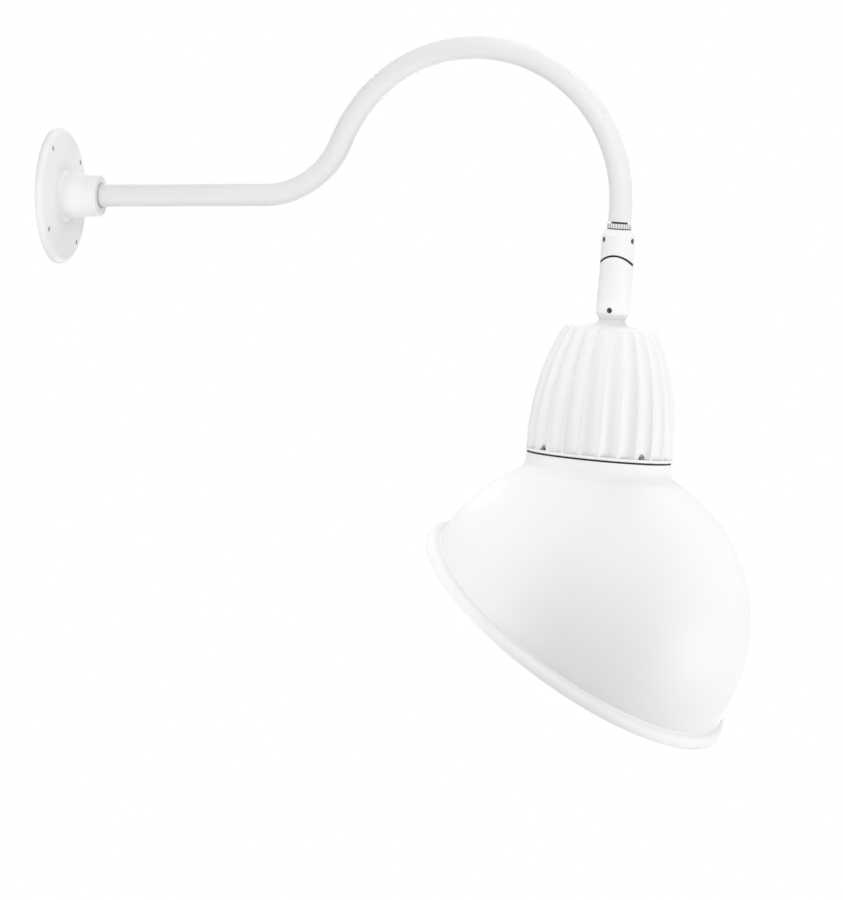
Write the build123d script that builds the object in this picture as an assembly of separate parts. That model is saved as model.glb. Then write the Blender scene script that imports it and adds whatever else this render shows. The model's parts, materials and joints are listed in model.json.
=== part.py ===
from build123d import *
from math import asin, atan, cos, pi, radians, sin, sqrt, tan
import os

os.makedirs("parts", exist_ok=True)

# All sizes in millimetres. The origin is the centre of the wall plate's back face.
# +X points out of the wall, +Z up, and the arm lies in the XZ plane.

# Wall plate with its hub
plate_dia = 149.0
plate_thickness = 8.6
plate_edge_wall = 2.6
plate_pocket_dia = 112.0
plate_pocket_depth = 4.6
plate_hole_dia = 5.5
plate_hole_circle = 126.0
plate_hole_count = 4
plate_hole_turn = 36.0
wall_gasket_thickness = 1.5
wall_gasket_width = 14.0
hub_base_dia = 49.6
hub_nose_dia = 45.2
hub_reach = 50.0
hub_root_round = 5.0
seal_cord_dia = 1.4
seal_depth = 0.7

# Arm
tube_dia = 24.5
tube_wall = 2.0
tube_start = 1.0
arm_straight = 239.6
rise_radius = 92.3
rise_angle = 67.5
arch_radius = 162.0
arm_end_tilt = 4.0
arm_drop = 14.2
locknut_flats = 34.0
locknut_thickness = 3.2
ground_screw_dia = 4.0
ground_screw_radius = 36.0

# Swivel at the end of the arm, heights above the tilt pivot
tube_end_height = 59.2
swivel_turn = 6.0
stem_dia = 17.6
stem_bore = 11.0
stem_groove_depth = 0.6
stem_insert = 12.0
stem_gap = 2.1
lock_ring_dia = 26.0
lock_ring_height = 5.2
knurl_count = 28
knurl_depth = 1.1
knurl_share = 0.52
swivel_seal_thickness = 0.8
knuckle_dia = 35.8
knuckle_neck_dia = 28.4
knuckle_shoulder = 6.5
swivel_screw_height = 39.5
swivel_screw_turn = -53.0
swivel_screw_count = 3
set_screw_dia = 6.0
set_screw_sink = 1.4
set_screw_flats = 3.0
stem_foot_height = 32.0
turning_gap = 0.2
running_gap = 0.05

# Tilting knuckle
head_radius = 21.6
head_wall = 4.2
saddle_gap = 2.1
seal_inset = 0.4
tilt_limit = 30.0
nipple_dia = 8.8
nipple_bore = 6.2
nipple_foot = 8.5
slot_play = 0.3
curved_washer_dia = 15.0
curved_washer_thickness = 1.5
knuckle_nut_flats = 13.0
knuckle_nut_thickness = 4.2
knuckle_bore_dia = 29.4
knuckle_length = 45.1
knuckle_foot_chamfer = 6.5
knuckle_foot_dia = 27.4
neck_screw_rise = 9.7
neck_screw_turn = -3.5

# Head, each height measured down from the piece above it
rest_tilt = 1.4
head_turn = -18.3
neck_nipple_dia = 20.0
neck_nipple_bore = 13.0
neck_nipple_engage = 18.1
neck_nipple_length = 39.0
shoulder_fall = 6.1
shoulder_dia = 38.0
crown_fall = 4.3
crown_dia = 100.6
crown_round = 4.0
crown_wall = 6.5
bell_height = 136.15
bell_dia = 156.8
bell_skirt = 16.65
flute_count = 24
flute_depth = 4.4
flute_ridge = 0.9
flute_wall = 7.0
flange_thickness = 3.25
seam_dia = 155.4
seam_gasket_thickness = 2.0
cavity_dia = 128.0
ledge_height = 33.65
ledge_dia = 116.0
head_screw_count = 4
head_screw_dia = 3.5
head_screw_head_dia = 6.0
head_screw_head_height = 2.6
head_screw_circle = 148.4
head_screw_play = 0.3
key_lean = 45.0
head_screw_turn = -38.9
head_screw_length = 11.0

# Light engine
spreader_thickness = 5.0
board_dia = 50.0
board_thickness = 1.6
emitter_dia = 20.0
emitter_thickness = 1.2
holder_bore = 25.0
holder_height = 4.0
small_screw_dia = 3.0
small_screw_head_dia = 5.6
small_screw_head_height = 2.0
small_screw_length = 6.0
driver_width = 52.0
driver_depth = 34.0
driver_height = 60.0
driver_lift = 5.0
bracket_thickness = 1.5
bracket_width = 40.0
bracket_foot = 21.0
bracket_height = 48.0
reflector_wall = 1.0
reflector_mouth_dia = 119.0
lens_dia = 131.0
lens_thickness = 4.0
lens_gasket_thickness = 1.0
lens_view_dia = 120.0
lens_play = 0.2

# Shade
collar_dia = 154.8
collar_foot_dia = 158.6
collar_height = 16.0
collar_wall = 3.0
collar_floor = 2.0
collar_lap = 4.0
dome_lean = 32.5
shade_wall = 1.6
lip_top = -4.4
lip_height = 11.8
lip_fall = 4.1
lip_draft = 0.4
lip_flare = 10.7
lip_round_share = 0.92
crease_round = 2.5
rim_dia = 381.0
rim_width = 2.9


def rod(radius, low, high):
    return Pos(0, 0, low) * extrude(Circle(radius), high - low)


def ring(outer, inner, low, high):
    return Pos(0, 0, low) * extrude(Circle(outer) - Circle(inner), high - low)


def hexagon(flats, low, high):
    return Pos(0, 0, low) * extrude(RegularPolygon(flats / 2, 6, major_radius=False), high - low)


def turned(points):
    return revolve(Plane.XZ * make_face(Polyline(*points, close=True)), Axis.Z)


def barrel(radius, length):
    return Rot(90, 0, 0) * Cylinder(radius, length)


def around(shape, count, first=0.0):
    return [Rot(0, 0, first + 360 / count * i) * shape for i in range(count)]


def corner_at(x, z):
    return vertices().filter_by(lambda v: abs(v.X - x) < 0.01 and abs(v.Y - z) < 0.01)


def group(shapes):
    return Compound(children=list(shapes))


def set_screw(length):
    body = rod(set_screw_dia / 2, -length, 0)
    return body - hexagon(set_screw_flats, -length / 2, 0)


def pan_screw(dia, head_dia, head_height, length):
    head = rod(head_dia / 2, 0, head_height)
    head = fillet(head.edges().group_by(Axis.Z)[-1], head_height * 0.4)
    return head + rod(dia / 2, -length, 0)


def radial(height, turn, reach):
    # A frame on a circle round the Z axis, its own +Z pointing outwards. Turn 0 faces -Y.
    return Rot(0, 0, turn) * Pos(0, -reach, height) * Rot(90, 0, 0)


parts = {}

# Wall plate: a thick disc with a rounded edge and a cast hub, hollow behind.
plate_r = plate_dia / 2
tube_r = tube_dia / 2
bore_r = tube_r - tube_wall
edge_round = plate_thickness - plate_edge_wall
seal_r = seal_cord_dia / 2
mouth_r = tube_r + seal_cord_dia
rest_r = tube_r + running_gap

with BuildSketch(Plane.XZ) as plate_profile:
    with BuildLine():
        Line((0, 0), (plate_r, 0))
        Line((plate_r, 0), (plate_r, plate_edge_wall))
        RadiusArc((plate_r, plate_edge_wall), (plate_r - edge_round * 1.5, plate_thickness - 0.6), -edge_round * 1.25)
        Line((plate_r - edge_round * 1.5, plate_thickness - 0.6), (hub_base_dia / 2, plate_thickness + 1.0))
        Line((hub_base_dia / 2, plate_thickness + 1.0), (hub_nose_dia / 2, hub_reach))
        Line((hub_nose_dia / 2, hub_reach), (0, hub_reach))
        Line((0, hub_reach), (0, 0))
    make_face()
plate = revolve(plate_profile.sketch, Axis.Z)
hub_root = plate.edges().filter_by(GeomType.CIRCLE).filter_by(
    lambda e: abs(e.center().Z - plate_thickness - 1.0) < 0.01 and abs(e.radius - hub_base_dia / 2) < 0.01
)
plate = fillet(hub_root, hub_root_round)
hub_nose = plate.edges().filter_by(GeomType.CIRCLE).group_by(Axis.Z)[-1]
plate = fillet(hub_nose, 1.2)
gasket_outer = plate_r - 1.5
gasket_inner = gasket_outer - wall_gasket_width
plate_hole = rod(plate_hole_dia / 2, -1, plate_thickness + 1)
plate_holes = around(Pos(plate_hole_circle / 2, 0, 0) * plate_hole, plate_hole_count, plate_hole_turn)
plate -= rod(rest_r, -1, hub_reach + 1)
plate -= rod(mouth_r, hub_reach - seal_depth - seal_cord_dia, hub_reach + 1)
plate -= rod(plate_pocket_dia / 2, -1, plate_pocket_depth)
plate -= ring(gasket_outer, gasket_inner, -1, wall_gasket_thickness)
plate -= plate_holes
ground_place = Pos(0, -ground_screw_radius, plate_pocket_depth) * Rot(180, 0, 0)
ground_length = (plate_thickness - plate_pocket_depth) * 0.75
plate -= ground_place * rod(ground_screw_dia / 2, -ground_length, 0)

# The plate is drawn with its axis upright, then laid so that this axis is +X and its X is +Y.
on_wall = Plane((0, 0, 0), x_dir=(0, 1, 0), z_dir=(1, 0, 0)).location
parts["wall_plate"] = on_wall * plate
parts["wall_gasket"] = on_wall * (ring(gasket_outer, gasket_inner, 0, wall_gasket_thickness) - plate_holes)
ground_screw = pan_screw(ground_screw_dia, ground_screw_dia * 2, ground_screw_dia * 0.6, ground_length)
parts["ground_screw"] = on_wall * ground_place * ground_screw
seal_height = hub_reach - seal_depth - seal_r
parts["arm_seal"] = on_wall * Pos(0, 0, seal_height) * Torus(tube_r + seal_r, seal_r)
locknut = hexagon(locknut_flats, plate_pocket_depth - locknut_thickness, plate_pocket_depth)
parts["arm_locknut"] = on_wall * (locknut - rod(tube_r, -1, plate_thickness))

# Arm: one tube bent up, over in an arch and down.
rise = radians(rise_angle)
tilt = radians(arm_end_tilt)
rise_end = Vector(arm_straight + rise_radius * sin(rise), rise_radius * (1 - cos(rise)))
arch_centre = rise_end + Vector(sin(rise), -cos(rise)) * arch_radius
arch_end = arch_centre + Vector(cos(tilt), -sin(tilt)) * arch_radius
down = Vector(-sin(tilt), -cos(tilt))
arm_end = arch_end + down * arm_drop
pivot = arm_end + down * tube_end_height

with BuildLine(Plane.XZ) as arm_path:
    Line((tube_start, 0), (arm_straight, 0))
    TangentArc((arm_straight, 0), (rise_end.X, rise_end.Y), tangent=(1, 0))
    TangentArc((rise_end.X, rise_end.Y), (arch_end.X, arch_end.Y), tangent=(cos(rise), sin(rise)))
    Line((arch_end.X, arch_end.Y), (arm_end.X, arm_end.Y))
tube_section = Plane((tube_start, 0, 0), z_dir=(1, 0, 0)) * (Circle(tube_r) - Circle(bore_r))
parts["arm_tube"] = sweep(tube_section, path=arm_path.wire())

# Swivel, drawn with the tilt pivot at the origin, the pivot's axis along Y and the arm's end above.
swivel_frame = Pos(pivot.X, 0, pivot.Y) * Rot(0, arm_end_tilt, 0) * Rot(0, 0, swivel_turn)
stem_r = stem_dia / 2
groove_half = set_screw_dia / 2 + 0.6
ring_top = tube_end_height - stem_gap
ring_foot = ring_top - lock_ring_height
seal_foot = ring_foot - swivel_seal_thickness
knuckle_top = seal_foot - turning_gap
knuckle_r = knuckle_dia / 2

stem = rod(stem_r, stem_foot_height + turning_gap, tube_end_height)
stem += rod(bore_r, tube_end_height, tube_end_height + stem_insert)
stem -= rod(stem_bore / 2, stem_foot_height - 1, tube_end_height + stem_insert + 1)
groove = ring(stem_r + 1, stem_r - stem_groove_depth, swivel_screw_height - groove_half, swivel_screw_height + groove_half)
stem -= groove
parts["swivel_stem"] = swivel_frame * stem

lock_ring_r = lock_ring_dia / 2
knurl_r = pi * lock_ring_r / knurl_count * knurl_share
knurl = Pos(lock_ring_r + knurl_r - knurl_depth, 0, 0) * rod(knurl_r, ring_foot - 1, ring_top + 1)
lock_ring = ring(lock_ring_r, stem_r, ring_foot, ring_top)
lock_ring = chamfer(lock_ring.edges().group_by(Axis.Z)[-1].sort_by(SortBy.RADIUS)[-1], 0.4)
parts["lock_ring"] = swivel_frame * (lock_ring - around(knurl, knurl_count))
parts["swivel_seal"] = swivel_frame * ring(lock_ring_r - 0.6, stem_r, seal_foot, ring_foot)

saddle_r = head_radius + saddle_gap
saddle = barrel(saddle_r, knuckle_dia * 2)
neck_r = knuckle_neck_dia / 2
shoulder_height = knuckle_top - knuckle_shoulder
upper = turned([(0, 0), (knuckle_r, 0), (knuckle_r, shoulder_height), (neck_r, knuckle_top), (0, knuckle_top)])
upper = fillet(upper.edges().filter_by(GeomType.CIRCLE).group_by(Axis.Z)[-2], 3.0)
upper -= saddle
upper -= rod(stem_r + running_gap, stem_foot_height, knuckle_top + 1)
upper -= rod(nipple_dia / 2, 0, stem_foot_height + 1)
screw_tip = stem_r - stem_groove_depth + running_gap
screw_face = knuckle_r - set_screw_sink
screw_place = radial(swivel_screw_height, swivel_screw_turn, screw_face)
screw_hole = radial(swivel_screw_height, swivel_screw_turn, screw_tip) * rod(set_screw_dia / 2, 0, knuckle_dia)
upper -= around(screw_hole, swivel_screw_count)
parts["knuckle_upper"] = swivel_frame * upper
parts["swivel_set_screws"] = swivel_frame * group(around(screw_place * set_screw(screw_face - screw_tip), swivel_screw_count))

nipple_r = nipple_dia / 2
above_pivot = Pos(0, 0, knuckle_dia) * Box(knuckle_dia * 2, knuckle_dia * 2, knuckle_dia * 2)
seal_shell = barrel(saddle_r, knuckle_dia) - barrel(head_radius + slot_play, knuckle_dia)
knuckle_seal = (seal_shell & rod(knuckle_r - seal_inset, 0, knuckle_dia)) - rod(nipple_r, 0, knuckle_dia)
parts["knuckle_seal"] = swivel_frame * (knuckle_seal & above_pivot)
parts["knuckle_nipple"] = swivel_frame * ring(nipple_r, nipple_bore / 2, nipple_foot, stem_foot_height - turning_gap)

inner_head_r = head_radius - head_wall
washer_outer_r = inner_head_r - turning_gap
washer_inner_r = washer_outer_r - curved_washer_thickness
washer_shell = barrel(washer_outer_r, knuckle_dia) - barrel(washer_inner_r, knuckle_dia)
curved_washer = washer_shell & ring(curved_washer_dia / 2, nipple_r, 0, knuckle_dia)
parts["knuckle_washer"] = swivel_frame * (curved_washer & above_pivot)
nut_top = sqrt(washer_inner_r**2 - (knuckle_nut_flats / 2) ** 2)
nut_body = hexagon(knuckle_nut_flats, nut_top - knuckle_nut_thickness, washer_outer_r)
knuckle_nut = (nut_body & barrel(washer_inner_r, knuckle_dia)) - rod(nipple_r, 0, knuckle_dia)
parts["knuckle_nut"] = swivel_frame * knuckle_nut

# Lower knuckle: a round head round the pivot, hollow, with a slot that stops the nipple.
head_frame = swivel_frame * Rot(0, rest_tilt, 0)
neck_nipple_top = knuckle_length - neck_nipple_engage
neck_nipple_foot = neck_nipple_top + neck_nipple_length
neck_screw_drop = knuckle_length - neck_screw_rise
foot_r = knuckle_foot_dia / 2
foot_chamfer_drop = knuckle_length - knuckle_foot_chamfer
bore_half = knuckle_bore_dia / 2
lower = turned(
    [(0, -knuckle_length), (foot_r, -knuckle_length), (knuckle_r, -foot_chamfer_drop), (knuckle_r, knuckle_dia),
     (0, knuckle_dia)]
)
below_pivot = Pos(0, 0, -knuckle_dia * 2) * Box(knuckle_dia * 2, knuckle_dia * 2, knuckle_dia * 4)
lower &= barrel(head_radius, knuckle_dia * 2) + below_pivot
hollow = rod(bore_half, -neck_nipple_top, knuckle_dia)
hollow &= barrel(inner_head_r, knuckle_dia * 2) + below_pivot
lower -= hollow
lower -= rod(neck_nipple_dia / 2, -knuckle_length - 1, -neck_nipple_top)
slot_r = nipple_r + slot_play
reach = knuckle_dia
spread = radians(tilt_limit)
wedge = Polyline((0, 0), (reach * sin(spread), reach * cos(spread)), (-reach * sin(spread), reach * cos(spread)), close=True)
slot = extrude(Plane.XZ * make_face(wedge), slot_r, both=True)
slot += Rot(0, tilt_limit, 0) * rod(slot_r, 0, reach) + Rot(0, -tilt_limit, 0) * rod(slot_r, 0, reach)
lower -= slot
neck_tip = neck_nipple_dia / 2
lower -= radial(-neck_screw_drop, neck_screw_turn, neck_tip) * rod(set_screw_dia / 2, 0, knuckle_dia)
parts["knuckle_lower"] = head_frame * lower
neck_screw = radial(-neck_screw_drop, neck_screw_turn, screw_face) * set_screw(screw_face - neck_tip)
parts["neck_set_screw"] = head_frame * neck_screw
parts["neck_nipple"] = head_frame * ring(neck_nipple_dia / 2, neck_nipple_bore / 2, -neck_nipple_foot, -neck_nipple_top)

# Finned housing: a bell of revolution with concave flutes cut from its flange up over the crown.
housing_frame = head_frame * Rot(0, 0, head_turn)
shoulder_drop = knuckle_length + shoulder_fall
crown_drop = shoulder_drop + crown_fall
seam_drop = crown_drop + bell_height
flange_top_drop = seam_drop - flange_thickness
bell_turn_drop = seam_drop - bell_skirt
ledge_drop = seam_drop - ledge_height
seam_r = seam_dia / 2
bell_r = bell_dia / 2
crown_r = crown_dia / 2
shoulder_r = shoulder_dia / 2
crown_rise = bell_turn_drop - crown_drop
crown_in = bell_r - crown_r
bell_radius = (crown_in**2 + crown_rise**2) / (2 * crown_in)
flange_edge = flange_thickness / 4
with BuildSketch(Plane.XZ) as housing_profile:
    with BuildLine():
        Line((0, -seam_drop), (seam_r, -seam_drop))
        Line((seam_r, -seam_drop), (bell_r, -seam_drop + flange_edge))
        Line((bell_r, -seam_drop + flange_edge), (bell_r, -bell_turn_drop))
        RadiusArc((bell_r, -bell_turn_drop), (crown_r, -crown_drop), -bell_radius)
        Line((crown_r, -crown_drop), (shoulder_r, -shoulder_drop))
        Spline((shoulder_r, -shoulder_drop), (foot_r * 1.09, -knuckle_length - shoulder_fall / 2), (foot_r, -knuckle_length))
        Line((foot_r, -knuckle_length), (0, -knuckle_length))
        Line((0, -knuckle_length), (0, -seam_drop))
    make_face()
housing = revolve(housing_profile.sketch, Axis.Z)
crown_edge = housing.edges().filter_by(GeomType.CIRCLE).filter_by(lambda e: abs(e.radius - crown_r) < 0.01)
housing = fillet(crown_edge, crown_round)

# Each flute is one round cutter swept up the bell. Its path leaves the bell a little towards
# the crown, so that the ridges between the flutes keep one width while they draw together.
half_pitch = pi / flute_count
low_chord = bell_r * sin(half_pitch) - flute_ridge / 2
top_chord = crown_r * sin(half_pitch) - flute_ridge / 2
flute_r = (low_chord**2 + flute_depth**2) / (2 * flute_depth)
low_path_r = bell_r + flute_r - flute_depth
top_path_r = crown_r + sqrt(flute_r**2 - top_chord**2)
path_in = low_path_r - top_path_r
path_radius = (path_in**2 + crown_rise**2) / (2 * path_in)
lean = asin(crown_rise / path_radius)
run_out = flute_r
run_out_end = (top_path_r - run_out * sin(lean), -crown_drop + run_out * cos(lean))
with BuildLine(Plane.XZ) as flute_path:
    Line((low_path_r, -flange_top_drop), (low_path_r, -bell_turn_drop))
    RadiusArc((low_path_r, -bell_turn_drop), (top_path_r, -crown_drop), -path_radius)
    Line((top_path_r, -crown_drop), run_out_end)
flute = sweep(Pos(low_path_r, 0, -flange_top_drop) * Circle(flute_r), path=flute_path.wire())
quarter_turn = 90
first_flute = head_screw_turn - quarter_turn - head_turn - swivel_turn
housing -= around(flute, flute_count, first_flute)

ledge_r = ledge_dia / 2
cavity_r = cavity_dia / 2
housing -= rod(cavity_r, -seam_drop - 1, -ledge_drop)
cavity_top = (crown_r - flute_depth - flute_wall, -crown_drop - crown_wall)
with BuildSketch(Plane.XZ) as hollow_profile:
    with BuildLine():
        Line((0, -ledge_drop), (ledge_r, -ledge_drop))
        RadiusArc((ledge_r, -ledge_drop), cavity_top, -bell_radius)
        Line(cavity_top, (0, cavity_top[1]))
        Line((0, cavity_top[1]), (0, -ledge_drop))
    make_face()
housing -= revolve(hollow_profile.sketch, Axis.Z)
housing -= rod(neck_nipple_dia / 2, -neck_nipple_foot, -knuckle_length + 1)
head_screw_r = head_screw_dia / 2
screw_spot = Pos(head_screw_circle / 2, 0, -flange_top_drop)
seat_clear_r = head_screw_head_dia / 2 + head_screw_play
seat_top = head_screw_head_height + head_screw_play
key_foot = seat_top - seat_clear_r * tan(radians(key_lean / 2))
key_way = Pos(0, 0, key_foot) * Rot(0, key_lean, 0) * rod(seat_clear_r, 0, bell_skirt)
screw_clear = rod(head_screw_r, -seam_drop, 1) + rod(seat_clear_r, 0, seat_top) + key_way
housing -= around(screw_spot * screw_clear, head_screw_count, first_flute)
spreader_screw_hole = Pos(ledge_r + 3.0, 0, -ledge_drop) * rod(small_screw_dia / 2, 0, small_screw_length)
parts["housing"] = housing_frame * (housing - around(spreader_screw_hole, 3))
head_screw = pan_screw(head_screw_dia, head_screw_head_dia, head_screw_head_height, head_screw_length)
parts["housing_screws"] = housing_frame * group(around(screw_spot * head_screw, head_screw_count, first_flute))

# Seam gasket between the housing and the shade's collar.
gasket_foot = seam_drop + seam_gasket_thickness
view_r = lens_view_dia / 2
screw_path = Pos(head_screw_circle / 2, 0, -flange_top_drop) * rod(head_screw_r, -head_screw_length, 0)
screw_paths = around(screw_path, head_screw_count, first_flute)
seam_gasket = ring(seam_r - 0.3, view_r + 1.0, -gasket_foot, -seam_drop)
parts["seam_gasket"] = housing_frame * (seam_gasket - screw_paths)

# Light engine: spreader, board, emitter, holder, reflector, driver and its bracket.
spreader_foot = ledge_drop + spreader_thickness
board_foot = spreader_foot + board_thickness
holder_foot = board_foot + holder_height
small_r = small_screw_dia / 2
small_screw = pan_screw(small_screw_dia, small_screw_head_dia, small_screw_head_height, small_screw_length)
down_facing = Rot(180, 0, 0)
spreader_screws = around(Pos(ledge_r + 3.0, 0, -spreader_foot) * down_facing * small_screw, 3)
holder_spot = (board_dia + holder_bore) / 4
holder_screws = around(Pos(holder_spot, 0, -holder_foot) * down_facing * small_screw, 2, 90)
bracket_screws = [
    Pos(x, driver_depth / 2 + bracket_foot / 2, -ledge_drop + bracket_thickness) * small_screw
    for x in (-bracket_width * 0.3, bracket_width * 0.3)
]
driver_screws = [
    Pos(x, driver_depth / 2 + bracket_thickness, -ledge_drop + bracket_height * 0.85) * Rot(-90, 0, 0) * small_screw
    for x in (-bracket_width * 0.3, bracket_width * 0.3)
]
spreader = rod(cavity_r - 0.3, -spreader_foot, -ledge_drop) - spreader_screws - holder_screws - bracket_screws
parts["heat_spreader"] = housing_frame * spreader
parts["spreader_screws"] = housing_frame * group(spreader_screws)
parts["led_board"] = housing_frame * (rod(board_dia / 2, -board_foot, -spreader_foot) - holder_screws)
parts["led_emitter"] = housing_frame * rod(emitter_dia / 2, -board_foot - emitter_thickness, -board_foot)
holder = ring(board_dia / 2, holder_bore / 2, -holder_foot, -board_foot)
holder = chamfer(holder.edges().group_by(Axis.Z)[0].sort_by(SortBy.RADIUS)[0], holder_height * 0.5)
parts["led_holder"] = housing_frame * (holder - holder_screws)
parts["holder_screws"] = housing_frame * group(holder_screws)

reflector_top_r = board_dia / 2 - 1.0
mouth_half = reflector_mouth_dia / 2
rim_r = cavity_r - 0.5
collect = [(reflector_top_r, -holder_foot), (mouth_half, -seam_drop), (rim_r, -seam_drop),
           (rim_r, -seam_drop + reflector_wall), (mouth_half - reflector_wall, -seam_drop + reflector_wall),
           (reflector_top_r + reflector_wall, -holder_foot)]
parts["reflector"] = housing_frame * turned(collect)

driver_foot = -ledge_drop + driver_lift
driver = Pos(0, 0, driver_foot + driver_height / 2) * Box(driver_width, driver_depth, driver_height)
driver = fillet(driver.edges().filter_by(Axis.Z), 3.0)
parts["driver"] = housing_frame * (driver - driver_screws)
upright_place = Pos(0, driver_depth / 2 + bracket_thickness / 2, -ledge_drop + bracket_height / 2)
upright = upright_place * Box(bracket_width, bracket_thickness, bracket_height)
foot_place = Pos(0, driver_depth / 2 + bracket_foot / 2, -ledge_drop + bracket_thickness / 2)
bracket = upright + foot_place * Box(bracket_width, bracket_foot, bracket_thickness)
parts["driver_bracket"] = housing_frame * (bracket - bracket_screws - driver_screws)
parts["bracket_screws"] = housing_frame * group(bracket_screws)
parts["driver_screws"] = housing_frame * group(driver_screws)

# Lens in the collar's recess, on its own gasket.
lens_r = lens_dia / 2
lens_foot = gasket_foot + lens_thickness
lens_floor = lens_foot + lens_gasket_thickness
recess_r = lens_r + lens_play
parts["lens"] = housing_frame * rod(lens_r, -lens_foot, -gasket_foot)
parts["lens_gasket"] = housing_frame * ring(lens_r, view_r, -lens_floor, -lens_foot)

# Collar: a ring that carries the lens and sits on the ball of the shade.
collar_r = collar_dia / 2
collar_foot_r = collar_foot_dia / 2
seat_r = collar_foot_r - collar_wall * 2
collar_sink = gasket_foot + collar_height
collar_bend = (collar_r + 0.5, -gasket_foot - collar_height * 0.37)
collar_foot = -collar_sink - collar_lap
collar_floor_drop = lens_floor + collar_floor
rim_r_outer = rim_dia / 2
lip_r = rim_r_outer - lip_flare
dome_radius = sqrt(lip_r**2 + lip_top**2)
dome_centre_drop = collar_sink + sqrt(dome_radius**2 - collar_foot_r**2)
dome_centre = Pos(0, 0, -dome_centre_drop)
with BuildSketch(Plane.XZ) as collar_profile:
    with BuildLine():
        Line((view_r, -gasket_foot), (collar_r, -gasket_foot))
        Spline((collar_r, -gasket_foot), collar_bend, (collar_foot_r, -collar_sink))
        Line((collar_foot_r, -collar_sink), (collar_foot_r, collar_foot))
        Line((collar_foot_r, collar_foot), (seat_r, collar_foot))
        Line((seat_r, collar_foot), (seat_r, -collar_floor_drop))
        Line((seat_r, -collar_floor_drop), (view_r, -collar_floor_drop))
        Line((view_r, -collar_floor_drop), (view_r, -gasket_foot))
    make_face()
collar = revolve(collar_profile.sketch, Axis.Z)
collar -= rod(recess_r, -lens_floor, -gasket_foot)
collar -= dome_centre * Sphere(dome_radius)
collar -= screw_paths
parts["shade_collar"] = housing_frame * collar

# Shade: a spun ball section leaning off the head's axis, ending in a flared and hemmed lip.
shade_frame = housing_frame * dome_centre * Rot(0, dome_lean, 0)
inner_r = dome_radius - shade_wall
rim_low = lip_top - lip_height
corner_r = rim_r_outer - lip_draft
flare_slope = lip_fall / (lip_flare - lip_draft)
lip_round = lip_round_share * (lip_height - lip_fall) / tan((pi / 2 - atan(flare_slope)) / 2)
flare_wall = shade_wall * sqrt(1 + flare_slope**2)
inner_top = lip_top - flare_wall + (lip_r - inner_r) * flare_slope
lip_inner_r = sqrt(inner_r**2 - inner_top**2)
inner_corner_r = corner_r - rim_width
inner_corner_top = inner_top - (inner_corner_r - lip_inner_r) * flare_slope
with BuildSketch(Plane.XZ) as shade_profile:
    with BuildLine():
        RadiusArc((0, dome_radius), (lip_r, lip_top), dome_radius)
        Line((lip_r, lip_top), (corner_r, lip_top - lip_fall))
        Line((corner_r, lip_top - lip_fall), (rim_r_outer, rim_low))
        Line((rim_r_outer, rim_low), (rim_r_outer - rim_width, rim_low))
        Line((rim_r_outer - rim_width, rim_low), (inner_corner_r, inner_corner_top))
        Line((inner_corner_r, inner_corner_top), (lip_inner_r, inner_top))
        RadiusArc((lip_inner_r, inner_top), (0, inner_r), -inner_r)
        Line((0, inner_r), (0, dome_radius))
    make_face()
    fillet(corner_at(corner_r, lip_top - lip_fall), lip_round)
    fillet(corner_at(inner_corner_r, inner_corner_top), lip_round - rim_width)
    fillet(corner_at(lip_r, lip_top), crease_round)
shade = shade_frame * revolve(shade_profile.sketch, Axis.Z)
parts["shade"] = shade - housing_frame * rod(seat_r, -dome_centre_drop, -seam_drop + dome_radius)

for name, shape in parts.items():
    export_step(shape, f"parts/{name}.step")
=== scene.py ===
import json
from math import atan2, cos, pi, radians, sin

import bmesh
import bpy
from mathutils import Matrix, Vector


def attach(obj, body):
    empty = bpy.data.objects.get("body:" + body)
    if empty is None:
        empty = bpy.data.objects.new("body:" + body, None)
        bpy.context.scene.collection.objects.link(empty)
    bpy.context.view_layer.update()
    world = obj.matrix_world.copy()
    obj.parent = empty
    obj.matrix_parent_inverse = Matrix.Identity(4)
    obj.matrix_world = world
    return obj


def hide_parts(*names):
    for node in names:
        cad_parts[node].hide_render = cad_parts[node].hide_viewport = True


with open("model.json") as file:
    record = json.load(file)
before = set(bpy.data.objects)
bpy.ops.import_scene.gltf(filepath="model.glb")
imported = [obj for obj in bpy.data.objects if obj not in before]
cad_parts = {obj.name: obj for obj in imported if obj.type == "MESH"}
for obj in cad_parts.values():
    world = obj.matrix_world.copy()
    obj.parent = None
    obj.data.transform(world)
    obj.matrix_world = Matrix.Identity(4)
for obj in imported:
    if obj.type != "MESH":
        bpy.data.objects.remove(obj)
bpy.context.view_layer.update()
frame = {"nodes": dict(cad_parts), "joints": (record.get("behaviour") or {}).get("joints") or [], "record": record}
nodes = frame["nodes"]

MM = 0.001

# ---------------------------------------------------------------- where the light hangs
# The two joints give the pivot and the way the head hangs from it at rest.
joints = {joint["name"]: joint for joint in frame["joints"]}
PIVOT = Vector(joints["tilt"]["pos_m"])
TILT_AXIS = Vector(joints["tilt"]["axis"])
STEM_AXIS = Vector(joints["swivel"]["axis"])
# At rest the head hangs this far off the stem's axis, and it is turned this far about its own.
REST_TILT = radians(1.4)
HEAD_TURN = radians(-18.3)
# The dome is part of a ball. Its centre lies this far below the pivot, and its lip leans this far.
DOME_DROP = 371.07 * MM
DOME_LEAN = radians(32.5)


def head_place():
    """The head's own frame: its origin on the pivot, Z up its axis, and Y along the tilt axis before its turn."""
    up = Matrix.Rotation(REST_TILT, 3, TILT_AXIS) @ STEM_AXIS
    across = TILT_AXIS.cross(up).normalized()
    upright = Matrix((across, TILT_AXIS, up)).transposed().to_4x4()
    return Matrix.Translation(PIVOT) @ upright @ Matrix.Rotation(HEAD_TURN, 4, "Z")


HEAD = head_place()
# The shade's own frame: Z is the axis that it was spun about, from the ball's centre.
SHADE = HEAD @ Matrix.Translation((0, 0, -DOME_DROP)) @ Matrix.Rotation(DOME_LEAN, 4, "Y")


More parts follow.
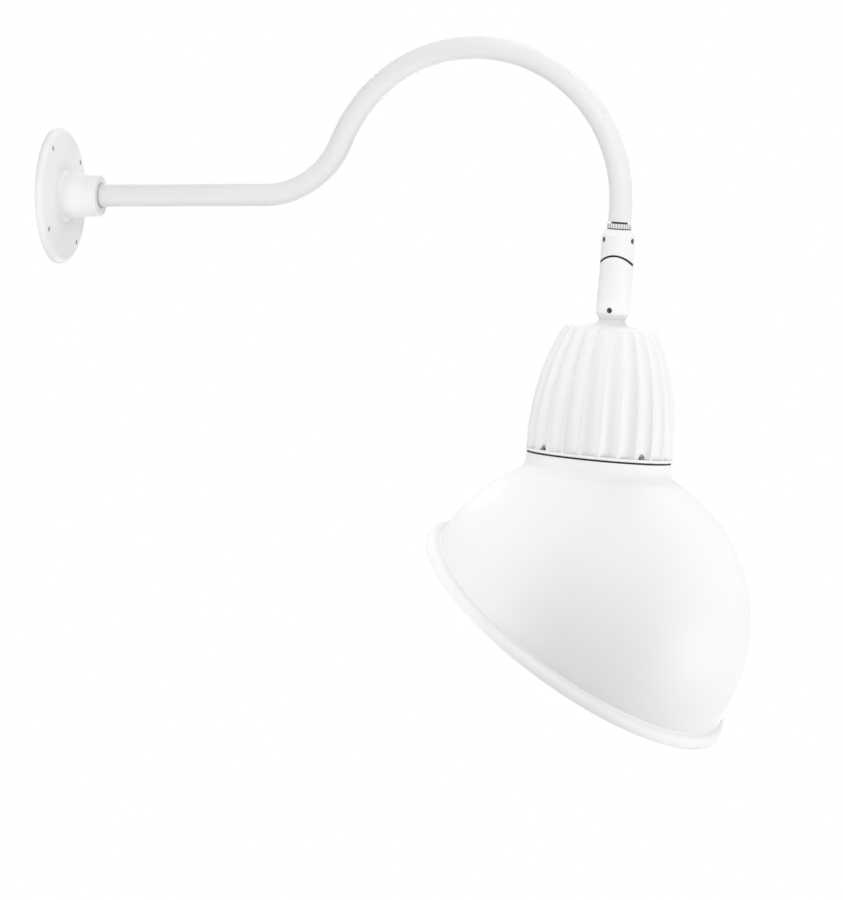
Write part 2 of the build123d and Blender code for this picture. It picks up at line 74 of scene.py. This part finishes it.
# ---------------------------------------------------------------- shader maths
class Level:
    """A number that changes over a surface. Python's operators add the Math nodes."""

    def __init__(self, graph, socket):
        self.graph = graph
        self.socket = socket

    def __add__(self, other):
        return self.graph.math("ADD", self, other)

    def __sub__(self, other):
        return self.graph.math("SUBTRACT", self, other)

    def __rsub__(self, other):
        return self.graph.math("SUBTRACT", other, self)

    def __mul__(self, other):
        return self.graph.math("MULTIPLY", self, other)

    def __pow__(self, other):
        return self.graph.math("POWER", self, other)

    __radd__ = __add__
    __rmul__ = __mul__


class Graph:
    """The nodes of one material or of the world."""

    def __init__(self, tree):
        self.tree = tree

    def node(self, kind, settings=None, **inputs):
        """Makes a node: its settings first, then its sockets' values or links, with _ for a space in a name."""
        made = self.tree.nodes.new("ShaderNode" + kind)
        for setting, value in (settings or {}).items():
            setattr(made, setting, value)
        for socket, value in inputs.items():
            self.feed(made.inputs[socket.replace("_", " ")], value)
        return made

    def feed(self, socket, value):
        if isinstance(value, Level):
            value = value.socket
        if isinstance(value, bpy.types.NodeSocket):
            self.tree.links.new(value, socket)
        else:
            socket.default_value = value

    def math(self, operation, first, second=0.0):
        made = self.node("Math", {"operation": operation})
        self.feed(made.inputs[0], first)
        self.feed(made.inputs[1], second)
        return Level(self, made.outputs[0])

    def seen(self):
        """1 to a ray straight from the camera, off a shiny surface or through glass, and 0 to any other."""
        path = self.node("LightPath").outputs
        seen = Level(self, path["Is Camera Ray"]) + Level(self, path["Is Glossy Ray"])
        return self.math("MINIMUM", seen + Level(self, path["Is Transmission Ray"]), 1.0)


class Finish(Graph):
    """One material: a Principled shader and the nodes that feed it."""

    def __init__(self, name, **uniform):
        self.material = bpy.data.materials.new(name)
        self.material.use_nodes = True
        super().__init__(self.material.node_tree)
        self.shader = self.tree.nodes["Principled BSDF"]
        for socket, value in uniform.items():
            self.shader.inputs[socket.replace("_", " ")].default_value = value

    def place(self, matrix=None):
        """Object coordinates, or those of a frame on the object when its matrix is given."""
        point = self.node("TexCoord").outputs["Object"]
        if matrix is None:
            return point
        back = matrix.inverted()
        return self.node(
            "Mapping", Vector=point, Location=back.to_translation(), Rotation=back.to_euler()
        ).outputs[0]

    def noise(self, size, detail=2.0, stretch=None):
        """Smooth noise from 0 to 1, with features of that size in metres."""
        point = self.place()
        if stretch:
            point = self.node("Mapping", Vector=point, Scale=stretch).outputs[0]
        made = self.node("TexNoise", Vector=point, Scale=1 / size, Detail=detail)
        return Level(self, made.outputs["Fac"])

    def cells(self, size, settings=None):
        """The distance in a pattern of cells of that size in metres."""
        made = self.node("TexVoronoi", settings, Vector=self.place(), Scale=1 / size)
        return Level(self, made.outputs["Distance"])

    def band(self, value, low, high):
        """0 below low, 1 above high, and smooth between."""
        made = self.node(
            "MapRange", {"interpolation_type": "SMOOTHSTEP"}, Value=value, From_Min=low, From_Max=high
        )
        return Level(self, made.outputs["Result"])

    def parts(self, point):
        made = self.node("SeparateXYZ", Vector=point)
        return [Level(self, made.outputs[axis]) for axis in "XYZ"]

    def radius(self, point):
        """The distance from the Z axis of the point's frame."""
        x, y, _ = self.parts(point)
        return (x * x + y * y) ** 0.5

    def rings(self, centre, pitch):
        """Waves from -1 to 1 outwards from the Z axis of a frame."""
        return self.math("SINE", self.radius(self.place(centre)) * (2 * pi / pitch))

    def mix(self, share, first, second):
        made = self.node("Mix", {"data_type": "RGBA"})
        self.feed(made.inputs[0], share)
        self.feed(made.inputs[6], first)
        self.feed(made.inputs[7], second)
        return made.outputs[2]

    def crevice(self, reach):
        """0 on open surface, rising to 1 deep in a corner or a slot."""
        made = self.node("AmbientOcclusion", {"samples": 8}, Distance=reach)
        return 1 - Level(self, made.outputs["AO"])

    def relief(self, height, depth, edge=0.35 * MM):
        """Bumps the surface by that depth in metres where height is 1, and rounds its edges by that radius."""
        rounded = self.node("Bevel", {"samples": 4}, Radius=edge)
        bump = self.node("Bump", Height=height, Distance=depth, Normal=rounded.outputs[0])
        self.feed(self.shader.inputs["Normal"], bump.outputs[0])

    def colour(self, value):
        self.feed(self.shader.inputs["Base Color"], value)

    def gloss(self, value):
        self.feed(self.shader.inputs["Roughness"], value)


def shade_of(grey, warm=0.0):
    """A grey, with its red raised and its blue lowered by warm."""
    return (grey + warm, grey, grey - warm, 1.0)


# ---------------------------------------------------------------- finishes
def powder_coat(name, grey, peel_size, peel_depth=0.018 * MM, spun_about=None):
    """White powder coat: a faint orange peel, painted shade in its hollows and corners, and under it the rings of
    a spun piece.
    """
    pore_size, ring_pitch, drift_size = peel_size * 0.22, 3.2 * MM, 70 * MM
    hollow_reach, corner_reach = 20 * MM, 6 * MM
    coat = Finish(name, Specular_IOR_Level=0.2)
    peel = coat.noise(peel_size)
    height = peel * 0.8 + coat.noise(pore_size, 1.0) * 0.2
    if spun_about:
        height = height + coat.rings(spun_about, ring_pitch) * 0.1
    coat.relief(height, peel_depth, edge=0.6 * MM)
    tone = coat.mix(coat.noise(drift_size, 3.0), shade_of(grey - 0.012, 0.002), shade_of(grey + 0.012))
    # Painted shade: the colour darkens towards a grey in hollows, up to 20 mm from a facing surface.
    tone = coat.mix(coat.crevice(hollow_reach), tone, shade_of(grey * 0.7))
    # Painted shade: darker still, and rougher, in tight corners and creases.
    corner_shade = coat.crevice(corner_reach) ** 1.5
    coat.colour(coat.mix(corner_shade * 0.55, tone, shade_of(grey * 0.45, 0.01)))
    coat.gloss(0.42 + peel * 0.08 + corner_shade * 0.2)
    return coat.material


def moulded_rubber():
    """Dull black rubber with dust in patches."""
    skin_size, dust_size = 1.1 * MM, 9 * MM
    rubber = Finish("moulded_rubber", Specular_IOR_Level=0.35)
    skin = rubber.noise(skin_size, 3.0)
    dust = rubber.band(rubber.noise(dust_size, 4.0), 0.45, 0.8)
    rubber.colour(rubber.mix(dust * 0.4, shade_of(0.012), shade_of(0.04, 0.002)))
    rubber.gloss(0.62 + skin * 0.2)
    rubber.relief(skin, 0.06 * MM)
    return rubber.material


def steel(name, dark, light, rough):
    """Plated or blackened steel with fine drawing marks, a blotchy coat and painted shade in its recesses."""
    blotch_size, mark_size, recess_reach = 3.5 * MM, 0.25 * MM, 2 * MM
    metal = Finish(name, Metallic=1.0)
    blotch = metal.noise(blotch_size, 4.0)
    marks = metal.noise(mark_size, stretch=(1.0, 1.0, 0.12))
    face = metal.mix(metal.band(blotch, 0.3, 0.7), dark, light)
    # Painted shade: the colour goes nearly black in sockets and other recesses.
    recess_shade = metal.band(metal.crevice(recess_reach), 0.15, 0.6)
    metal.colour(metal.mix(recess_shade, face, shade_of(0.01)))
    metal.gloss(rough + blotch * 0.16)
    metal.relief(marks, 0.012 * MM)
    return metal.material


def machined_aluminium():
    """Faced off on a lathe: fine rings about the head's axis."""
    cut_pitch, cloud_size, grit_size = 0.7 * MM, 12 * MM, 0.4 * MM
    metal = Finish("machined_aluminium", Metallic=1.0)
    cut = metal.rings(HEAD, cut_pitch) * 0.5 + 0.5
    metal.colour(metal.mix(metal.noise(cloud_size, 3.0), shade_of(0.68), shade_of(0.79)))
    metal.gloss(0.26 + cut * 0.12)
    metal.relief(cut * 0.8 + metal.noise(grit_size) * 0.2, 0.015 * MM)
    return metal.material


def bright_reflector():
    """Specular anodised sheet, peened into shallow cells that blend the light."""
    cell_size, tint_size = 3.4 * MM, 25 * MM
    metal = Finish("bright_reflector", Metallic=1.0)
    dish = metal.cells(cell_size)
    tint = metal.noise(tint_size)
    metal.colour(metal.mix(tint, shade_of(0.86), shade_of(0.92)))
    metal.gloss(0.09 + tint * 0.06)
    metal.relief(dish * dish, 0.35 * MM)
    return metal.material


def lens_glass():
    """Clear glass with a slight green tint and a thin film on it."""
    film_size, wave_size = 30 * MM, 14 * MM
    glass = Finish("lens_glass", Transmission_Weight=1.0, IOR=1.5)
    film = glass.noise(film_size, 3.0)
    glass.colour(glass.mix(film, (0.955, 0.975, 0.965, 1), (0.985, 0.995, 0.99, 1)))
    glass.gloss(film * 0.03)
    glass.relief(glass.noise(wave_size, 1.0), 0.01 * MM)
    return glass.material


def moulded_plastic(name, dark, light, rough):
    """Plastic with a fine moulded grain."""
    grain_size, cloud_size = 0.5 * MM, 8 * MM
    plastic = Finish(name)
    grain = plastic.noise(grain_size)
    plastic.colour(plastic.mix(plastic.noise(cloud_size, 3.0), dark, light))
    plastic.gloss(rough + grain * 0.15)
    plastic.relief(grain, 0.03 * MM)
    return plastic.material


def solder_mask():
    """The white face of the board: copper pours stand slightly proud under the mask."""
    pour_size, grain_size = 9 * MM, 1 * MM
    mask = Finish("solder_mask")
    pour = mask.band(mask.cells(pour_size, {"feature": "DISTANCE_TO_EDGE"}), 0.05, 0.08)
    mask.colour(mask.mix(pour, shade_of(0.76, 0.01), shade_of(0.85)))
    mask.gloss(0.3 + mask.noise(grain_size) * 0.12)
    mask.relief(pour, 0.035 * MM)
    return mask.material


def phosphor():
    """Silicone loaded with yellow phosphor over a close grid of small dies."""
    die_pitch, grit_size = 1.5 * MM, 0.3 * MM
    layer = Finish("phosphor", Subsurface_Weight=0.3, Subsurface_Scale=0.8 * MM)
    x, y, _ = layer.parts(layer.place(HEAD))
    wave = 2 * pi / die_pitch
    die = layer.math("SINE", x * wave) * layer.math("SINE", y * wave)
    grit = layer.noise(grit_size)
    layer.colour(layer.mix(layer.band(die, -0.2, 0.5), (0.80, 0.52, 0.05, 1), (0.90, 0.66, 0.10, 1)))
    layer.gloss(0.28 + grit * 0.15)
    layer.relief(grit, 0.02 * MM)
    return layer.material


# By material slot of the record, and for two painted nodes by name.
finishes = {
    "white_paint": powder_coat("cast_coat", 0.91, 1.8 * MM),
    "steel_screw": steel("blackened_steel", shade_of(0.13), shade_of(0.30, 0.004), 0.34),
    "zinc_steel": steel("zinc_plate", shade_of(0.52, -0.01), shade_of(0.66, 0.01), 0.24),
    "green_screw": steel("green_zinc", (0.03, 0.20, 0.07, 1), (0.06, 0.34, 0.12, 1), 0.28),
    "black_rubber": moulded_rubber(),
    "raw_aluminium": machined_aluminium(),
    "bright_reflector": bright_reflector(),
    "clear_glass": lens_glass(),
    "white_plastic": moulded_plastic("white_plastic", shade_of(0.80, 0.01), shade_of(0.86), 0.4),
    "driver_case": moulded_plastic("driver_plastic", shade_of(0.025), shade_of(0.045), 0.45),
    "board": solder_mask(),
    "phosphor": phosphor(),
}
# All these coats are one white paint. The tube's and the shade's greys are set below the castings' to match how
# bright each looks under this light: painted shade.
coats = {
    "arm_tube": powder_coat("tube_coat", 0.84, 2.2 * MM, peel_depth=0.006 * MM),
    "shade": powder_coat("shade_coat", 0.885, 3.0 * MM, spun_about=SHADE),
}
slots = {row["node"]: row["material_slot"] for row in frame["record"]["subparts"]}
for name, solid in nodes.items():
    solid.data.materials.clear()
    solid.data.materials.append(coats.get(name) or finishes[slots[name]])


# ---------------------------------------------------------------- making pieces
MERGE = 0.001 * MM
# A direction across which no two points or faces of a piece lie level.
SORT_WAY = Vector((1.0, 0.618, 0.382))


def mesh_of(name, shape):
    """Turns a shape into a mesh and frees it."""
    mesh = bpy.data.meshes.new(name)
    shape.to_mesh(mesh)
    shape.free()
    return mesh


def add_object(name, data):
    made = bpy.data.objects.new(name, data)
    bpy.context.scene.collection.objects.link(made)
    return made


def close_up(shape):
    """Merges doubles and turns every face outwards."""
    bmesh.ops.remove_doubles(shape, verts=shape.verts, dist=MERGE)
    bmesh.ops.recalc_face_normals(shape, faces=shape.faces)


def put_in_order(shape):
    """Sorts points and faces by place, because the operators give them in another order each run."""
    shape.verts.sort(key=lambda vert: vert.co.dot(SORT_WAY))
    shape.faces.sort(key=lambda face: face.calc_center_median().dot(SORT_WAY))


def finished(name, shapes, material, body):
    """Makes one piece of several shapes and rides it on its body."""
    whole = bmesh.new()
    for shape in shapes:
        part = mesh_of("part", shape)
        whole.from_mesh(part)
        bpy.data.meshes.remove(part)
    put_in_order(whole)
    piece = add_object(name, mesh_of(name, whole))
    piece.data.materials.append(material)
    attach(piece, body)
    return piece


# ---------------------------------------------------------------- housing screws
# Pan head screws with a hexagon socket, standing in the flutes on the housing's flange.
SCREW_COUNT = 4
SCREW_CIRCLE = 74.2 * MM
SCREW_SEAT = -188.4 * MM
FIRST_SCREW = -116.6
SCREW_RADIUS, SCREW_HEIGHT = 3.0 * MM, 2.6 * MM
SHANK_RADIUS, SHANK_LENGTH = 1.75 * MM, 11.0 * MM
BRIM_ROUNDING = SCREW_HEIGHT * 0.42
SOCKET_FLATS, SOCKET_DEPTH = 2.5 * MM, 1.5 * MM
MOUTH_SHARE = 0.62
CHAMFER_DEPTH, CHAMFER_WIDTH = 0.08 * MM, 1.08


def pull(shape, face, height, width=1.0):
    """Extrudes a face along its normal and scales its new end about its middle."""
    along = face.normal * height
    end = bmesh.ops.extrude_discrete_faces(shape, faces=[face])["faces"][0]
    middle = end.calc_center_median()
    bmesh.ops.translate(shape, verts=end.verts, vec=along)
    about = Matrix.Translation(-middle - along)
    bmesh.ops.scale(shape, verts=end.verts, vec=(width, width, width), space=about)
    return end


def disc(shape, radius, facing):
    """A round face across Z at the origin that faces up (1) or down (-1)."""
    rim = bmesh.ops.create_circle(shape, cap_ends=True, segments=24, radius=radius)["verts"]
    face = rim[0].link_faces[0]
    face.normal_update()
    if face.normal.z * facing < 0:
        face.normal_flip()
    return face


def make_hexagon(face, flats):
    """Moves the rim of a round face that lies across Z in to a hexagon."""
    for vert in face.verts:
        angle = atan2(vert.co.y, vert.co.x) % (pi / 3) - pi / 6
        reach = flats / 2 / cos(angle)
        vert.co.xy = vert.co.xy.normalized() * reach


def socket_screw(place):
    """A screw with its seat at the place's origin and its shank below."""
    shape = bmesh.new()
    top = pull(shape, disc(shape, SCREW_RADIUS, 1), SCREW_HEIGHT)
    brim = [edge for edge in shape.edges if all(vert in top.verts for vert in edge.verts)]
    bmesh.ops.bevel(
        shape, geom=brim, offset=BRIM_ROUNDING, segments=4, profile=0.5, affect="EDGES", material=-1
    )
    top = max(shape.faces, key=lambda face: face.calc_center_median().z)
    mouth = pull(shape, top, 0.0, MOUTH_SHARE)
    make_hexagon(mouth, SOCKET_FLATS * CHAMFER_WIDTH)
    socket = pull(shape, mouth, -CHAMFER_DEPTH, 1 / CHAMFER_WIDTH)
    pull(shape, socket, -SOCKET_DEPTH)
    neck = pull(shape, disc(shape, SCREW_RADIUS, -1), 0.0, SHANK_RADIUS / SCREW_RADIUS)
    pull(shape, neck, SHANK_LENGTH)
    close_up(shape)
    bmesh.ops.transform(shape, matrix=place, verts=shape.verts)
    return shape


def screw_place(number):
    turn = radians(FIRST_SCREW + 360 / SCREW_COUNT * number)
    seat = HEAD @ Matrix.Translation((0, 0, SCREW_SEAT))
    return seat @ Matrix.Rotation(turn, 4, "Z") @ Matrix.Translation((SCREW_CIRCLE, 0, 0))


screws = [socket_screw(screw_place(number)) for number in range(SCREW_COUNT)]
head_screws = finished("head_socket_screws", screws, finishes["steel_screw"], "head")
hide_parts("housing_screws")


# ---------------------------------------------------------------- fillet of collar and dome
# The collar's foot leans in, and the fillet starts on it. Places are in the head's frame, across X and Z.
COLLAR_LEAN = radians(8.5)
COVE_TOP = Vector((78.38, 0, -203.54)) * MM
COVE_RADIUS = 12.0 * MM
COVE_BACK = Vector((79.0, 0, -210.3)) * MM
COVE_SINK = 0.12 * MM
TAIL_LENGTH, TAIL_SLANT = 2.5 * MM, 0.2
ARC_STEPS, ROUND_STEPS = 8, 144
SHARP_ANGLE = radians(35)


def collar_cove():
    """The fillet between the collar's foot and the ball of the dome, whose centre lies on the head's axis.
    Its two tails run on under both surfaces, so that its edges don't show."""
    outward = Vector((cos(COLLAR_LEAN), 0, sin(COLLAR_LEAN)))
    upward = Vector((-sin(COLLAR_LEAN), 0, cos(COLLAR_LEAN)))
    middle = COVE_TOP + outward * COVE_RADIUS
    turn = atan2(middle.z + DOME_DROP, middle.x) - COLLAR_LEAN
    shape = bmesh.new()
    start = shape.verts.new(COVE_TOP)
    arc = bmesh.ops.spin(
        shape, geom=[start], cent=middle, axis=(0, 1, 0), angle=-turn, steps=ARC_STEPS, use_merge=False
    )
    end = next(item for item in arc["geom_last"] if isinstance(item, bmesh.types.BMVert))
    inward = (end.co - middle).normalized()
    downward = Vector((-inward.z, 0, inward.x))
    slant = TAIL_LENGTH * TAIL_SLANT
    upper_tail = shape.verts.new(start.co + upward * TAIL_LENGTH - outward * slant)
    lower_tail = shape.verts.new(end.co + downward * TAIL_LENGTH + inward * slant)
    back = shape.verts.new(COVE_BACK)
    for pair in ((upper_tail, start), (end, lower_tail), (lower_tail, back), (back, upper_tail)):
        shape.edges.new(pair)
    bmesh.ops.translate(shape, verts=shape.verts, vec=(-COVE_SINK, 0, -COVE_SINK))
    section = shape.verts[:] + shape.edges[:]
    bmesh.ops.spin(
        shape, geom=section, cent=(0, 0, 0), axis=(0, 0, 1), angle=2 * pi, steps=ROUND_STEPS, use_merge=True
    )
    close_up(shape)
    for face in shape.faces:
        face.smooth = True
    for edge in shape.edges:
        edge.smooth = edge.calc_face_angle(pi) < SHARP_ANGLE
    bmesh.ops.transform(shape, matrix=HEAD, verts=shape.verts)
    return shape


finished("collar_cove", [collar_cove()], coats["shade"], "head")


# ---------------------------------------------------------------- stage
WHITE = shade_of(1.0)
FLOOR_HEIGHT = -1.8
FLOOR_REACH = 40.0
SHADOW_REACH, FADE_REACH = 1.0, 1.8
AMBIENT = 0.46


def pale_floor():
    """A plain white floor: near the light it takes the shadow, and further off it fades to the background's white.
    It can't be seen from below."""
    floor = Finish("pale_floor", Roughness=0.9, Specular_IOR_Level=0.1)
    floor.colour(shade_of(0.9))
    away = floor.band(floor.radius(floor.place()), SHADOW_REACH, FADE_REACH)
    glow = floor.node("Emission", Color=WHITE, Strength=1.0)
    above = floor.node("MixShader", Fac=away * floor.seen())
    floor.feed(above.inputs[1], floor.shader.outputs[0])
    floor.feed(above.inputs[2], glow.outputs[0])
    whole = floor.node("MixShader", Fac=floor.node("NewGeometry").outputs["Backfacing"])
    floor.feed(whole.inputs[1], above.outputs[0])
    floor.feed(whole.inputs[2], floor.node("BsdfTransparent").outputs[0])
    floor.feed(floor.tree.nodes["Material Output"].inputs["Surface"], whole.outputs[0])
    return floor.material


def lay_floor():
    shape = bmesh.new()
    bmesh.ops.create_circle(shape, cap_ends=True, segments=64, radius=FLOOR_REACH)
    bmesh.ops.translate(shape, verts=shape.verts, vec=(PIVOT.x, 0, FLOOR_HEIGHT))
    floor = add_object("floor", mesh_of("floor", shape))
    floor.data.materials.append(pale_floor())


def white_surround():
    """White where it is seen, and a plain even light elsewhere."""
    world = bpy.data.worlds.new("studio")
    bpy.context.scene.world = world
    world.use_nodes = True
    sky = Graph(world.node_tree)
    background = sky.tree.nodes["Background"]
    sky.feed(background.inputs["Color"], WHITE)
    sky.feed(background.inputs["Strength"], AMBIENT + sky.seen() * (1 - AMBIENT))


def aimed(place, way):
    """The place of a lamp or camera that looks against the direction way."""
    return Matrix.Translation(place) @ way.to_track_quat("Z", "Y").to_matrix().to_4x4()


# Softboxes, all clear of the head as it turns. For each: where it hangs, its width, and
# the share of its own colour that a surface facing it at the subject gives back.
SUBJECT = Vector((0.55, 0.0, -0.3))
LARGE, SMALL = 0.7, 0.4
softboxes = {
    "front_low": ((0.0, -0.65, -0.35), SMALL, 0.318),
    "front_high": ((0.35, -0.65, 0.35), SMALL, 0.073),
    "front_right": ((1.1, -0.65, 0.35), SMALL, 0.228),
    "right_low": ((2.0, -0.1, -0.8), LARGE, 0.4),
    "overhead": ((0.6, -0.1, 1.5), LARGE, 0.171),
    "behind_high": ((0.9, 1.2, 1.4), LARGE, 0.142),
    "behind_left": ((-0.6, 1.2, 0.6), LARGE, 0.083),
    "behind_low": ((0.4, 1.2, -0.7), LARGE, 0.32),
}


def hang_softboxes():
    for name, (place, width, share) in softboxes.items():
        way = Vector(place) - SUBJECT
        lamp = bpy.data.lights.new(name, "AREA")
        lamp.shape = "DISK"
        lamp.size = width
        lamp.energy = share * pi**2 * way.length_squared
        hung = add_object(name, lamp)
        hung.matrix_world = aimed(place, way)
        hung.visible_camera = False


# The view: azimuth 0 is in front of the arm and 90 is beyond the head.
VIEW_AZIMUTH = radians(16.02)
VIEW_ELEVATION = radians(1.89)
VIEW_DISTANCE = 5.8134
VIEW_CENTRE = Vector((0.41543, 0.0, -0.27573))
VIEW_LENS = 215.52
SENSOR_WIDTH = 36.0


def set_camera():
    camera = bpy.data.cameras.new("camera")
    camera.lens = VIEW_LENS
    camera.sensor_width = SENSOR_WIDTH
    camera.clip_start = 0.1
    camera.clip_end = 100.0
    stand = add_object("camera", camera)
    level = cos(VIEW_ELEVATION)
    way = Vector((sin(VIEW_AZIMUTH) * level, -cos(VIEW_AZIMUTH) * level, sin(VIEW_ELEVATION)))
    stand.matrix_world = aimed(VIEW_CENTRE + way * VIEW_DISTANCE, way)
    bpy.context.scene.camera = stand


lay_floor()
white_surround()
hang_softboxes()
set_camera()
bpy.context.scene.view_settings.view_transform = "Standard"
